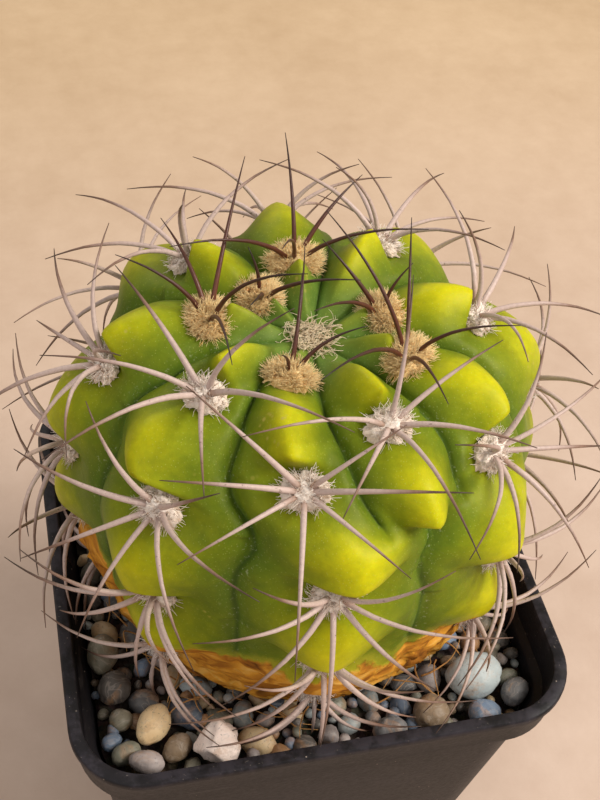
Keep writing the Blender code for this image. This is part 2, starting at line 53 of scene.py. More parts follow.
# Stem: crest outline from the growing point to the buried end, as (radius, height over the rim)
STEM_CENTRE = (1.6, 3.3)
OUTLINE = (
    (0.0, 57.5),
    (7.0, 60.0),
    (17.0, 64.0),
    (28.0, 63.0),
    (38.0, 57.5),
    (45.0, 48.5),
    (48.0, 37.5),
    (48.0, 27.0),
    (47.0, 17.0),
    (45.2, 8.0),
    (42.4, 0.0),
    (38.6, -7.0),
    (31.5, -13.0),
    (18.0, -18.0),
    (0.0, -20.1),
)
OUTLINE_STEPS = 24
STEM_ROWS = 270
STEM_BOTTOM_ROWS = 14
COLUMNS_PER_RIB = 34
FURROW_DEPTH = 7.5
USUAL_GAP = 42.0  # degrees between ribs, where furrows have that depth
MOUND_HEIGHT = 5.0
CHIN_PUSH = 1.9
NOSE = 1.2
# Stretches from one areole (0) to the next (1) over which a mound changes
MOUND_RISE = (-0.04, 0.58)
MOUND_FALL = (0.76, 0.90)
CHIN_RISE = (0.35, 0.72)
CHIN_FALL = (0.76, 0.88)
LAST_MOUND = 0.20
LAST_FALL = (0.35, 0.90)
# Stretches of the whole outline
FLATTENED = (0.54, 0.68)
BURIED = (0.74, 0.86)
SKIN_WAVE = 0.35
# Each rib: (azimuth low down, twist towards the crown, heights of its areoles as outline fractions)
RIBS = (
    (48.0, 5.0, (0.21, 0.38, 0.54, 0.68)),
    (88.0, 0.0, (0.125, 0.30, 0.46, 0.61)),
    (128.0, 0.0, (0.08, 0.22, 0.38, 0.53, 0.66)),
    (178.0, -16.0, (0.13, 0.285, 0.43, 0.56, 0.68)),
    (221.0, -18.0, (0.18, 0.335, 0.49, 0.62)),
    (264.0, -28.0, (0.078, 0.255, 0.40, 0.54, 0.66)),
    (287.0, 0.0, (0.185,)),
    (312.0, 18.0, (0.125, 0.295, 0.46, 0.61)),
    (358.0, 14.0, (0.088, 0.235, 0.385, 0.54, 0.67)),
)
SHORT_RIB = 6
SHORT_RIB_END = (0.308, 0.335)
SHORT_RIB_MOUND = 0.16
# Mounds whose nose leans to one side: (rib, areole above it, degrees)
LEANS = (
    (5, 1, 6.0),
    (4, 0, -7.0),
    (4, 1, -3.0),
    (7, 0, 6.0),
    (7, 1, -3.0),
    (2, 2, 3.0),
    (8, 1, 3.0),
    (3, 1, -4.0),
)
TWIST_END = 0.40
PAINTED_LIGHT_SIDE = 315.0  # the side given a painted highlight, in degrees
FRESH_END = (0.05, 0.13)  # where the crown's new green gives way
FOOT = (0.570, 0.625)  # where the corky foot begins

NEWEST = 0.10
YOUNG = 0.17
BOW = 14.0
PAD_RADIUS = 3.9
PAD_STRETCH = (0.88, 1.14)  # of its width, along the rib and across it
GROWN_STAND = 0.7  # of a grown pad out from the skin
GROWN_DROP = 0.4
SPINE_RADIUS = 0.58
SPINE_TIP = 0.07
SPINE_REACH = 7.0  # points of an areole past this belong to its spines
SPINE_CONE = 27.0
# Wool by age: (fibres, shortest and longest, curl, how far the outer ones lean, lumps in the pad)
YOUNG_WOOL = (1700, (0.9, 2.7), 0.42, 0.85, 0.20)
GROWN_WOOL = (330, (1.0, 2.8), 0.80, 1.00, 0.28)
FIBRE_RADIUS = 0.08
FIBRE_TIP = 0.03
CROWN_FIBRES = 260
CROWN_RADIUS = 4.2
ROOT_THREADS = 70
# Spines round a pad: (degrees from straight down, rise in degrees)
SPINES_NEWEST = ((0, 62), (103, 66), (206, 70), (257, 64))
SPINES_YOUNG = ((0, 50), (103, 46), (154, 68), (257, 46), (309, 40))
SPINES_RISING = ((0, 36), (51, 34), (103, 36), (154, 62), (257, 36), (309, 34))
SPINES_GROWN = ((0, 30), (48, 30), (88, 36), (128, 42), (232, 42), (272, 36), (312, 30))
SPINES_OLDEST = ((0, 34), (54, 36), (100, 38), (260, 38), (306, 36))
STAGES = ((NEWEST, SPINES_NEWEST), (YOUNG, SPINES_YOUNG), (0.24, SPINES_RISING), (0.62, SPINES_GROWN))

# Large pebbles, as in the frame: (x, y, long radius, width ratio, height ratio, turn, roughness, stone)
PEBBLES = (
    (-33.5, -33.5, 4.6, 0.68, 0.66, 54.0, 0.0, "cream"),
    (-22.0, -40.0, 4.7, 0.86, 0.80, 20.0, 0.16, "quartz"),
    (-39.6, -30.4, 2.5, 0.88, 0.80, 0.0, 0.02, "olive"),
    (-42.0, -34.6, 2.1, 0.80, 0.75, 30.0, 0.02, "blue"),
    (-39.6, -38.0, 2.8, 0.80, 0.80, 20.0, 0.02, "green"),
    (-36.0, -41.6, 3.3, 0.72, 0.75, -20.0, 0.0, "rose"),
    (-29.6, -38.6, 3.4, 0.72, 0.70, 40.0, 0.02, "brown"),
    (32.6, -34.6, 6.3, 0.74, 0.66, 8.0, 0.0, "pale"),
    (22.0, -40.2, 4.1, 0.85, 0.75, 60.0, 0.02, "brown"),
    (32.6, -42.2, 3.4, 0.80, 0.75, -10.0, 0.02, "blue"),
    (40.4, -38.4, 3.2, 0.85, 0.80, 40.0, 0.0, "slate"),
    (12.6, -42.2, 3.3, 0.80, 0.75, 0.0, 0.05, "slate"),
    (-41.6, -16.0, 4.2, 0.78, 0.75, 80.0, 0.03, "olive"),
    (-40.0, -23.6, 3.8, 0.85, 0.75, 60.0, 0.0, "dark"),
    (38.0, 39.0, 5.2, 0.80, 0.65, 30.0, 0.0, "rose"),
    (-37.0, 38.5, 5.0, 0.75, 0.70, 120.0, 0.05, "green"),
)
STONES = {
    "cream": (0.88, 0.64, 0.36),
    "quartz": (0.95, 0.78, 0.70),
    "olive": (0.20, 0.18, 0.13),
    "blue": (0.14, 0.20, 0.30),
    "green": (0.21, 0.21, 0.16),
    "rose": (0.40, 0.34, 0.33),
    "brown": (0.22, 0.15, 0.09),
    "pale": (0.40, 0.45, 0.46),
    "slate": (0.15, 0.15, 0.16),
    "dark": (0.07, 0.06, 0.055),
    "rust": (0.34, 0.17, 0.07),
}
SMALL_STONES = 270
SMALL_KINDS = ("olive", "green", "slate", "dark", "brown", "rose")
SMALL_KINDS += ("dark", "blue", "blue", "pale", "cream", "rust")
STONE_TRIES = 60000
BED_TOP = 82.6
BED_BOTTOM = 75.0
BED_EDGE = (44.2, 10.6)  # half width and corner radius
POT_INSIDE = (45.0, 10.8)

# Pot: (half width, corner radius, height) of each ring, from the underside out, over the rim and in
POT_RINGS = (
    (33.0, 7.0, 0.0),
    (34.6, 8.0, 0.0),
    (35.6, 8.8, 0.4),
    (36.0, 9.0, 1.4),
    (46.0, 12.0, 82.8),
    (46.2, 12.0, 84.2),
    (46.6, 12.2, 84.7),
    (48.2, 13.2, 85.1),
    (48.7, 13.4, 85.5),
    (48.8, 13.5, 86.2),
    (49.25, 13.8, 92.2),
    (49.45, 13.9, 92.7),
    (49.9, 14.25, 93.0),
    (50.0, 14.3, 93.4),
    (50.0, 14.3, 94.4),
    (49.9, 14.2, 94.75),
    (49.6, 14.0, 95.0),
    (47.9, 12.7, 95.0),
    (47.55, 12.45, 94.85),
    (47.4, 12.3, 94.4),
    (47.05, 12.05, 87.0),
    (46.9, 11.95, 86.6),
    (45.5, 11.1, 86.0),
    (45.1, 10.9, 85.4),
    (35.0, 7.7, 3.8),
    (34.4, 7.2, 2.6),
    (33.2, 6.4, 2.2),
)
CORNER_STEPS = 12
DRAIN_OFFSET = 21.0
DRAIN_RADIUS = 4.5

# Stage, in metres: each lamp is (place, width, power, colour)
LAMPS = {
    "key": ((0.66, -0.30, 0.84), 0.50, 12.5, (1.0, 0.95, 0.87)),
    "fill": ((-0.70, -0.55, 0.70), 0.80, 2.0, (0.92, 0.95, 1.0)),
    "back": ((-0.25, 0.85, 0.75), 0.60, 2.2, (1.0, 0.97, 0.94)),
}
LAMP_AIM = (0.0, 0.0, 0.11)
ROOM_LIGHT = (1.0, 0.93, 0.85, 1.0)
ROOM_STRENGTH = 0.50
CAMERA_PLACE = (-0.0462, -0.1535, 0.3122)
CAMERA_AIM = (0.0115, 0.0397, 0.095)
CAMERA_ROLL = 5.79


def smooth(a, b, x):
    t = min(max((x - a) / (b - a), 0.0), 1.0)
    return t * t * (3.0 - 2.0 * t)


# ---------------------------------------------------------------- the stem's form


def curve_through(points, steps):
    """Catmull-Rom curve through the points, ending on the last one."""
    out = []
    for i in range(len(points) - 1):
        around = (points[max(i - 1, 0)], points[i], points[i + 1], points[min(i + 2, len(points) - 1)])
        for k in range(steps):
            t = k / steps
            spot = []
            for a, b, c, d in zip(*around):
                square = 2 * a - 5 * b + 4 * c - d
                cube = 3 * b - a - 3 * c + d
                spot.append(0.5 * (2 * b + (c - a) * t + square * t * t + cube * t**3))
            out.append(tuple(spot))
    out.append(points[-1])
    return np.array(out)


CURVE = curve_through(OUTLINE, OUTLINE_STEPS)
STEPS = np.linalg.norm(np.diff(CURVE, axis=0), axis=1)
ARC = np.concatenate([[0.0], np.cumsum(STEPS)])


def outline_at(s):
    """(radius, height, outward normal in the radial plane) at a fraction of the outline's length."""
    want = min(max(s, 0.0), 1.0) * ARC[-1]
    k = min(max(int(np.searchsorted(ARC, want)) - 1, 0), len(STEPS) - 1)
    (r0, z0), (r1, z1) = CURVE[k], CURVE[k + 1]
    t = (want - ARC[k]) / STEPS[k]
    return r0 + (r1 - r0) * t, z0 + (z1 - z0) * t, (-(z1 - z0) / STEPS[k], (r1 - r0) / STEPS[k])


def rib_azimuth(rib, s):
    low, twist, heights = RIBS[rib]
    azimuth = low + twist * (1.0 - smooth(0.0, TWIST_END, s))
    for leaning, step, lean in LEANS:
        if leaning == rib and heights[step] < s < heights[step + 1]:
            v = (s - heights[step]) / (heights[step + 1] - heights[step])
            azimuth += lean * smooth(0.05, 0.58, v) * (1.0 - smooth(0.66, 0.98, v))
    return azimuth


def mound_along(rib, s):
    """(how far the mound has risen, position from one areole to the next, chin)."""
    heights = RIBS[rib][2]
    above = 0.0
    below = heights[0]
    for k, h in enumerate(heights):
        if s >= h:
            above = h
            last = SHORT_RIB_MOUND if rib == SHORT_RIB else LAST_MOUND
            below = heights[k + 1] if k + 1 < len(heights) else h + last
    v = min((s - above) / (below - above), 1.0)
    rise = smooth(*MOUND_RISE, v)
    fall = 1.0 - smooth(*MOUND_FALL, v)
    chin = smooth(*CHIN_RISE, v) * (1.0 - smooth(*CHIN_FALL, v))
    if above == heights[-1] and rib != SHORT_RIB:
        fall = 1.0 - smooth(*LAST_FALL, v)
        chin = 0.0
    return rise * fall, v, chin


def sink(ribs, centres, azimuth, s, radius):
    """(depth below the crest outline, chin push, crest, hump) with only these ribs."""
    for k, rib in enumerate(ribs):
        other = ribs[(k + 1) % len(ribs)]
        gap = (centres[(k + 1) % len(ribs)] - centres[k]) % 360.0
        along = (azimuth - centres[k]) % 360.0
        if along <= gap:
            break
    near, d = (rib, 2.0 * along / gap) if 2.0 * along <= gap else (other, 2.0 - 2.0 * along / gap)
    mound, v, chin = mound_along(near, s)
    flat = 1.0 - smooth(*FLATTENED, s)
    spread = min(d * (1.06 - 0.06 * smooth(0.1, 0.8, v)), 1.0)
    depth = min(FURROW_DEPTH * (gap / USUAL_GAP) ** 0.5, 0.42 * radius) * (0.35 + 0.65 * flat)
    depth *= 1.0 - 0.30 * smooth(0.28, 0.55, s)
    groove = depth * (0.40 * (1.0 - math.sqrt(1.0 - (0.985 * spread) ** 2)) + 0.60 * spread**5)
    lift = MOUND_HEIGHT * (0.40 + 0.60 * flat) * min(radius / 14.0, 1.0)
    unburied = 1.0 - smooth(*BURIED, s)
    hump = mound * (1.0 - smooth(0.02, 1.0 - 0.38 * smooth(0.45, 0.95, v), spread))
    nose = NOSE * chin * (1.0 - spread) ** 2 * flat * min(radius / 20.0, 1.0)
    inward = (groove + lift * (1.0 - spread**2.5 - hump) - nose) * unburied
    push = CHIN_PUSH * chin * (1.0 - spread) ** 1.5 * flat * min(radius / 20.0, 1.0)
    return np.array((inward, push, 1.0 - d, hump))


ALL_RIBS = tuple(range(len(RIBS)))
LONG_RIBS = tuple(k for k in ALL_RIBS if k != SHORT_RIB)


def skin_at(azimuth, s):
    """(point on the skin, crest, mound)."""
    r, z, normal = outline_at(s)
    end = smooth(SHORT_RIB_END[0], SHORT_RIB_END[1], s)
    found = np.zeros(4)
    for share, ribs in ((1.0 - end, ALL_RIBS), (end, LONG_RIBS)):
        if share > 0.0:
            found += share * sink(ribs, [rib_azimuth(rib, s) for rib in ribs], azimuth, s, r)
    inward, push, crest, mound = found
    a = math.radians(azimuth)
    inward += SKIN_WAVE * math.sin(3.0 * a + 11.0 * s) * math.sin(9.0 * s)
    r += normal[1] * push - inward * normal[0]
    z -= normal[0] * push + inward * normal[1]
    at = Vector((STEM_CENTRE[0] + r * math.cos(a), STEM_CENTRE[1] + r * math.sin(a), POT_HEIGHT + z))
    return at, crest, mound


# ---------------------------------------------------------------- meshes


def finish_piece(name, bm, material, replaces=(), sharp=None):
    """Makes the named piece from a mesh in millimetres and ties it to the frame."""
    bmesh.ops.scale(bm, vec=(MM, MM, MM), verts=bm.verts)
    mesh = bpy.data.meshes.new(name)
    bm.to_mesh(mesh)
    bm.free()
    tie(name, mesh, material, replaces, sharp)


def tie(name, mesh, material, replaces=(), sharp=None):
    """Shades a mesh in metres, links it as a piece and hides the frame's parts that it replaces."""
    mesh.polygons.foreach_set("use_smooth", [True] * len(mesh.polygons))
    if sharp is not None:
        mesh.set_sharp_from_angle(angle=math.radians(sharp))
    mesh.materials.append(material)
    obj = bpy.data.objects.new(name, mesh)
    bpy.context.scene.collection.objects.link(obj)
    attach(obj, "root")
    if replaces:
        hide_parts(*replaces)


def template(bm):
    """(points, faces) of a small mesh that is copied many times."""
    bm.verts.index_update()
    points = np.array([v.co[:] for v in bm.verts])
    faces = [[v.index for v in f.verts] for f in bm.faces]
    bm.free()
    return points, faces


def strand_template(sides, rings, tip):
    """A straight tapering strand along Z, from 0 to 1, of unit radius at its root."""
    bm = bmesh.new()
    bmesh.ops.create_cone(bm, cap_ends=True, segments=sides, radius1=1.0, radius2=tip, depth=1.0)
    bmesh.ops.translate(bm, verts=bm.verts, vec=(0.0, 0.0, 0.5))
    lengthwise = [e for e in bm.edges if abs(e.verts[0].co.z - e.verts[1].co.z) > 0.5]
    bmesh.ops.subdivide_edges(bm, edges=lengthwise, cuts=rings, use_grid_fill=True)
    bmesh.ops.recalc_face_normals(bm, faces=bm.faces)
    return template(bm)


def stone_template(levels):
    bm = bmesh.new()
    bmesh.ops.create_icosphere(bm, subdivisions=levels, radius=1.0)
    return template(bm)


class Heap:
    """Copies of templates gathered into one mesh, with values kept for each point."""

    def __init__(self):
        self.points = []
        self.faces = []
        self.values = {}
        self.count = 0

    def add(self, points, faces, **values):
        self.points.append(points)
        self.faces.extend([[i + self.count for i in face] for face in faces])
        self.count += len(points)
        for key, value in values.items():
            self.values.setdefault(key, []).append(value)

    def mesh(self, name):
        made = bpy.data.meshes.new(name)
        made.from_pydata((np.concatenate(self.points) * MM).tolist(), [], self.faces)
        for key, parts in self.values.items():
            value = np.concatenate(parts)
            if value.ndim == 2:
                layer = made.attributes.new(key, "FLOAT_COLOR", "POINT")
                layer.data.foreach_set("color", np.c_[value, np.ones(len(value))].ravel().astype(np.float32))
            else:
                layer = made.attributes.new(key, "FLOAT", "POINT")
                layer.data.foreach_set("value", value.astype(np.float32))
        made.update()
        return made


def bent(strand, path, radius, tip, power=1.0):
    """Lays a straight strand along a path of points, its radius falling from root to tip."""
    points, faces = strand
    path = np.asarray(path)
    t = points[:, 2]
    place = t * (len(path) - 1)
    low = np.clip(place.astype(int), 0, len(path) - 2)
    part = (place - low)[:, None]
    along = np.gradient(path, axis=0)
    along /= np.linalg.norm(along, axis=1)[:, None]
    helper = np.array((0.13, 0.21, 0.97)) if abs(along[0][2]) < 0.9 else np.array((1.0, 0.1, 0.0))
    across = np.cross(along, helper)
    across /= np.linalg.norm(across, axis=1)[:, None]
    upward = np.cross(across, along)
    centre = path[low] * (1 - part) + path[low + 1] * part
    side_x = across[low] * (1 - part) + across[low + 1] * part
    side_y = upward[low] * (1 - part) + upward[low + 1] * part
    size = (radius + (tip - radius) * t**power)[:, None]
    flat = points[:, :2] / np.maximum(np.linalg.norm(points[:, :2], axis=1), 1e-9)[:, None]
    return centre + size * (flat[:, :1] * side_x + flat[:, 1:] * side_y), faces, t


# ---------------------------------------------------------------- materials


class Nodes:
    """Adds nodes to a material or a shared group."""

    def __init__(self, tree):
        self.tree = tree

    def put(self, socket, value):
        if isinstance(value, bpy.types.NodeSocket):
            self.tree.links.new(value, socket)
        else:
            socket.default_value = value

    def node(self, kind, inputs=None, **settings):
        made = self.tree.nodes.new(kind)
        for key, value in settings.items():
            setattr(made, key, value)
        for key, value in (inputs or {}).items():
            self.put(made.inputs[key], value)
        return made.outputs

    def maths(self, operation, *values, clamp=False):
        made = self.node("ShaderNodeMath", dict(enumerate(values)), operation=operation, use_clamp=clamp)
        return made["Value"]

    def plus(self, a, b, clamp=False):
        return self.maths("ADD", a, b, clamp=clamp)

    def minus(self, a, b):
        return self.maths("SUBTRACT", a, b)

    def times(self, a, b):
        return self.maths("MULTIPLY", a, b)


class Finish(Nodes):
    """A material under construction."""

    def __init__(self, name, roughness=0.5, **fixed):
        self.material = bpy.data.materials.new(name)
        self.material.use_nodes = True
        super().__init__(self.material.node_tree)
        self.shader = self.tree.nodes["Principled BSDF"]
        self.shader.inputs["Roughness"].default_value = roughness
        for key, value in fixed.items():
            self.shader.inputs[key.replace("_", " ")].default_value = value
        self.coords = self.node("ShaderNodeTexCoord")["Object"]

    def set(self, name, value):
        self.put(self.shader.inputs[name], value)

    def attribute(self, name, kind="Fac"):
        return self.node("ShaderNodeAttribute", attribute_name=name)[kind]

    def axis(self, name):
        return self.node("ShaderNodeSeparateXYZ", {"Vector": self.coords})[name]

    def noise(self, scale, detail=3.0, roughness=0.55, distortion=0.0, vector=None):
        inputs = {"Vector": vector or self.coords, "Scale": scale, "Detail": detail}
        inputs.update({"Roughness": roughness, "Distortion": distortion})
        return self.node("ShaderNodeTexNoise", inputs)["Fac"]

    def cells(self, scale, output="Distance"):
        return self.node("ShaderNodeTexVoronoi", {"Vector": self.coords, "Scale": scale})[output]

    def stretched(self, size):
        return self.node("ShaderNodeMapping", {"Vector": self.coords, "Scale": size})["Vector"]

    def ramp(self, factor, stops):
        made = self.tree.nodes.new("ShaderNodeValToRGB")
        self.put(made.inputs["Fac"], factor)
        points = made.color_ramp.elements
        while len(points) < len(stops):
            points.new(0.5)
        for point, (place, colour) in zip(points, stops):
            point.position = place
            point.color = (*colour, 1.0)
        return made.outputs["Color"]

    def mask(self, factor, low, high):
        inputs = {"Value": factor, "From Min": low, "From Max": high}
        return self.node("ShaderNodeMapRange", inputs, interpolation_type="SMOOTHSTEP")["Result"]

    def span(self, factor, low, high):
        return self.node("ShaderNodeMapRange", {"Value": factor, "To Min": low, "To Max": high})["Result"]

    def mix(self, factor, a, b, blend="MIX"):
        """Blends two colours; 6 and 7 are a Mix node's colour inputs and 2 its colour output."""
        inputs = {"Factor": factor}
        for socket, colour in ((6, a), (7, b)):
            inputs[socket] = colour if isinstance(colour, bpy.types.NodeSocket) else (*colour, 1.0)
        return self.node("ShaderNodeMix", inputs, data_type="RGBA", blend_type=blend)[2]

    def bump(self, height, strength, distance, under=None):
        inputs = {"Height": height, "Strength": strength, "Distance": distance}
        if under is not None:
            inputs["Normal"] = under
        return self.node("ShaderNodeBump", inputs)["Normal"]

    def shared(self, group, **inputs):
        return self.node("ShaderNodeGroup", {"Vector": self.coords, **inputs}, node_tree=group)


def shared_group(name, inputs, outputs):
    """(group, its nodes, its given inputs, its results)."""
    tree = bpy.data.node_groups.new(name, "ShaderNodeTree")
    tree.interface.new_socket("Vector", in_out="INPUT", socket_type="NodeSocketVector")
    for key, value in inputs.items():
        socket = tree.interface.new_socket(key, in_out="INPUT", socket_type="NodeSocketFloat")
        socket.default_value = value
    for key in outputs:
        tree.interface.new_socket(key, in_out="OUTPUT", socket_type="NodeSocketFloat")
    given = tree.nodes.new("NodeGroupInput").outputs
    return tree, Nodes(tree), given, tree.nodes.new("NodeGroupOutput").inputs


def dust_group():
    """Pale specks and a thin film that gathers on faces that look up."""
    tree, g, given, out = shared_group("settled_dust", {"Scale": 600.0, "Amount": 0.5}, ("Mask", "Specks"))
    place = {"Vector": given["Vector"], "Scale": given["Scale"]}
    cloud = g.node("ShaderNodeTexNoise", {**place, "Detail": 5.0})["Fac"]
    normal = g.node("ShaderNodeNewGeometry")["Normal"]
    upward = g.node("ShaderNodeSeparateXYZ", {0: normal})["Z"]
    facing = g.node("ShaderNodeMapRange", {"Value": upward, "From Min": -0.1, "To Min": 0.25})["Result"]
    g.put(out["Mask"], g.times(g.times(cloud, facing), given["Amount"]))
    cell = g.node("ShaderNodeTexVoronoi", place)
    near = {"Value": cell["Distance"], "From Min": 0.14, "From Max": 0.06}
    dot = g.node("ShaderNodeMapRange", near)["Result"]
    g.put(out["Specks"], g.times(dot, g.maths("GREATER_THAN", cell["Color"], 0.80)))
    return tree


def grain_group():
    """Fine mottling, as a value about one half and a height."""
    tree, g, given, out = shared_group("fine_grain", {"Scale": 1500.0, "Contrast": 1.0}, ("Value", "Height"))
    place = {"Vector": given["Vector"], "Scale": given["Scale"], "Detail": 4.0, "Roughness": 0.6}
    fine = g.node("ShaderNodeTexNoise", place)["Fac"]
    g.put(out["Value"], g.maths("MULTIPLY_ADD", g.minus(fine, 0.5), given["Contrast"], 0.5, clamp=True))
    g.put(out["Height"], fine)
    return tree


DUST = dust_group()
GRAIN = grain_group()


def skin_finish():
    f = Finish("cactus_skin", 0.46, Specular_IOR_Level=0.17, Subsurface_Weight=0.06, Subsurface_Scale=0.003)
    f.set("Specular Tint", (1.0, 0.95, 0.55, 1.0))
    crest = f.attribute("crest")
    mound = f.attribute("mound")
    cork = f.attribute("cork")
    cloud = f.noise(70.0, 3.0, 0.5)
    # Painted light: the tone, and so the green below, rises towards rib crests and mound tops, partly the
    # skin's own yellow-green and partly a painted highlight. It falls towards the furrows as painted shade.
    crest_highlight = f.mask(crest, -0.10, 0.70)
    tone = f.plus(f.times(crest_highlight, 0.22), f.times(f.maths("POWER", mound, 1.4), 0.54))
    # Painted highlight: the skin is painted lighter on one side of the stem, towards 315 degrees.
    tone = f.plus(tone, f.times(f.attribute("painted_light_side"), 0.16))
    tone = f.plus(tone, f.times(f.minus(cloud, 0.47), 0.60))
    blotch = f.noise(330.0, 4.0, 0.6)
    tone = f.plus(tone, f.times(f.minus(blotch, 0.50), 0.38), clamp=True)
    green = f.ramp(
        tone,
        (
            (0.0, (0.074, 0.122, 0.008)),
            (0.28, (0.138, 0.184, 0.008)),
            (0.52, (0.230, 0.262, 0.007)),
            (0.76, (0.368, 0.372, 0.006)),
            (1.0, (0.550, 0.512, 0.005)),
        ),
    )
    fresh = f.attribute("fresh")
    green = f.mix(f.times(fresh, 0.80), green, (0.105, 0.190, 0.035))
    pores = f.mask(f.cells(1650.0), 0.25, 0.06)
    green = f.mix(f.times(pores, 0.20), green, (0.60, 0.64, 0.18))
    grain = f.shared(GRAIN, Scale=900.0, Contrast=1.6)
    green = f.mix(0.26, green, f.span(grain["Value"], 0.35, 0.72), "OVERLAY")
    # Painted shade: the green darkens down into the furrows.
    furrow_shade = f.mask(crest, 0.20, 0.02)
    green = f.mix(f.times(furrow_shade, 0.30), green, (0.075, 0.150, 0.020))
    # Painted shade: a narrow dark line along the bottom of each furrow.
    crease_shade = f.mask(crest, 0.055, 0.0)
    green = f.mix(f.times(crease_shade, 0.60), green, (0.022, 0.055, 0.008))
    bloom = f.times(f.mask(f.noise(1400.0, 4.0, 0.7), 0.58, 0.72), f.mask(crest, 0.24, 0.02))
    green = f.mix(f.times(bloom, 0.42), green, (0.60, 0.64, 0.42))
    scars = f.times(f.mask(f.noise(60.0, 2.0, 0.5), 0.66, 0.72), f.mask(f.cells(700.0), 0.40, 0.15))
    green = f.mix(f.times(scars, 0.8), green, (0.42, 0.36, 0.07))
    wrinkle = f.noise(95.0, 5.0, 0.55, 1.4, f.stretched((1.0, 1.0, 3.0)))
    bark = f.ramp(
        wrinkle,
        (
            (0.28, (0.085, 0.028, 0.007)),
            (0.40, (0.300, 0.110, 0.014)),
            (0.55, (0.590, 0.265, 0.030)),
            (0.74, (0.700, 0.430, 0.115)),
        ),
    )
    ragged = f.plus(cork, f.times(f.minus(f.noise(90.0, 5.0, 0.6), 0.5), 1.3))
    covered = f.mask(ragged, 0.44, 0.56)
    rusty = f.mask(ragged, 0.22, 0.46)
    green = f.mix(f.times(rusty, 0.45), green, (0.46, 0.40, 0.03))
    f.set("Base Color", f.mix(covered, green, bark))
    f.set("Roughness", f.plus(f.span(grain["Value"], 0.40, 0.52), f.times(covered, 0.34)))
    skin = f.bump(grain["Height"], 0.22, 0.00025)
    skin = f.bump(pores, 0.12, 0.00010, skin)
    f.set("Normal", f.bump(f.times(wrinkle, covered), 0.50, 0.0012, skin))
    return f.material


def spine_finish(name, stops, roughness):
    f = Finish(name, roughness, Specular_IOR_Level=0.4)
    along = f.attribute("along")
    shade = f.attribute("shade")
    cloud = f.noise(500.0, 3.0)
    place = f.plus(along, f.times(f.minus(cloud, 0.5), 0.16))
    place = f.plus(place, f.times(f.minus(shade, 0.5), 0.22), clamp=True)
    colour = f.ramp(place, stops)
    rings = f.maths("MULTIPLY_ADD", f.maths("SINE", f.times(along, 150.0)), 0.5, 0.5)
    colour = f.mix(0.05, colour, f.span(rings, 0.25, 0.75), "OVERLAY")
    streak = f.noise(1800.0, 2.0, 0.5)
    colour = f.mix(0.22, colour, f.span(streak, 0.2, 0.8), "OVERLAY")
    fleck = f.mask(f.noise(1500.0, 2.0, 0.5), 0.66, 0.72)
    colour = f.mix(f.times(fleck, 0.55), colour, (0.10, 0.055, 0.035))
    f.set("Base Color", colour)
    grain = f.shared(GRAIN, Scale=2200.0, Contrast=1.4)
    f.set("Roughness", f.span(grain["Value"], roughness - 0.1, roughness + 0.12))
    normal = f.bump(grain["Height"], 0.35, 0.00012)
    f.set("Normal", f.bump(rings, 0.08, 0.00004, normal))
    return f.material


def wool_finish(name, root, tip, dark):
    f = Finish(name, 0.95, Specular_IOR_Level=0.10, Sheen_Weight=0.80, Sheen_Roughness=0.45)
    f.set("Sheen Tint", (*tip, 1.0))
    along = f.attribute("along")
    shade = f.attribute("shade")
    colour = f.mix(along, root, tip)
    colour = f.mix(f.mask(shade, 0.92, 1.0), colour, dark)
    colour = f.mix(0.15, colour, f.span(f.noise(900.0, 4.0, 0.65), 0.25, 1.0), "MULTIPLY")
    f.set("Base Color", colour)
    grain = f.shared(GRAIN, Scale=3000.0, Contrast=1.5)
    f.set("Roughness", f.span(grain["Value"], 0.85, 1.0))
    f.set("Normal", f.bump(grain["Height"], 0.7, 0.0004))
    return f.material


def stone_finish():
    f = Finish("worn_pebbles", 0.55, Specular_IOR_Level=0.4)
    tint = f.attribute("tint", "Color")
    cloud = f.noise(220.0, 5.0, 0.6, 0.6)
    colour = f.mix(0.55, tint, f.span(cloud, 0.22, 0.80), "OVERLAY")
    vein = f.noise(160.0, 2.0, 0.5, 2.5)
    vein = f.times(f.mask(vein, 0.47, 0.50), f.mask(vein, 0.54, 0.51))
    colour = f.mix(f.times(vein, 0.25), colour, (0.50, 0.42, 0.36))
    stain = f.mask(f.noise(150.0, 4.0, 0.65, 0.8), 0.53, 0.64)
    colour = f.mix(f.times(stain, 0.38), colour, (0.42, 0.20, 0.07))
    specks = f.mask(f.noise(1900.0, 2.0, 0.5), 0.62, 0.70)
    colour = f.mix(f.times(specks, 0.40), colour, (0.06, 0.05, 0.045))
    dust = f.shared(DUST, Scale=900.0, Amount=0.45)
    colour = f.mix(f.times(dust["Mask"], 0.35), colour, (0.45, 0.40, 0.34))
    f.set("Base Color", colour)
    grain = f.shared(GRAIN, Scale=1300.0, Contrast=1.4)
    f.set("Roughness", f.span(grain["Value"], 0.32, 0.62))
    normal = f.bump(grain["Height"], 0.30, 0.0003)
    f.set("Normal", f.bump(cloud, 0.35, 0.0008, normal))
    return f.material


def ground_finish(name, dark, light, scale):
    f = Finish(name, 0.9, Specular_IOR_Level=0.25)
    cell = f.cells(scale, output="Color")
    edge = f.cells(scale)
    cloud = f.noise(scale * 0.7, 5.0, 0.65)
    colour = f.ramp(cloud, ((0.30, dark), (0.62, light), (0.80, tuple(min(1.0, 1.8 * v) for v in light))))
    colour = f.mix(0.45, colour, cell, "MULTIPLY")
    f.set("Base Color", colour)
    grain = f.shared(GRAIN, Scale=scale * 3.0, Contrast=1.5)
    f.set("Roughness", f.span(grain["Value"], 0.75, 1.0))
    normal = f.bump(grain["Height"], 0.6, 0.0005)
    f.set("Normal", f.bump(edge, 0.8, 0.0012, normal))
    return f.material


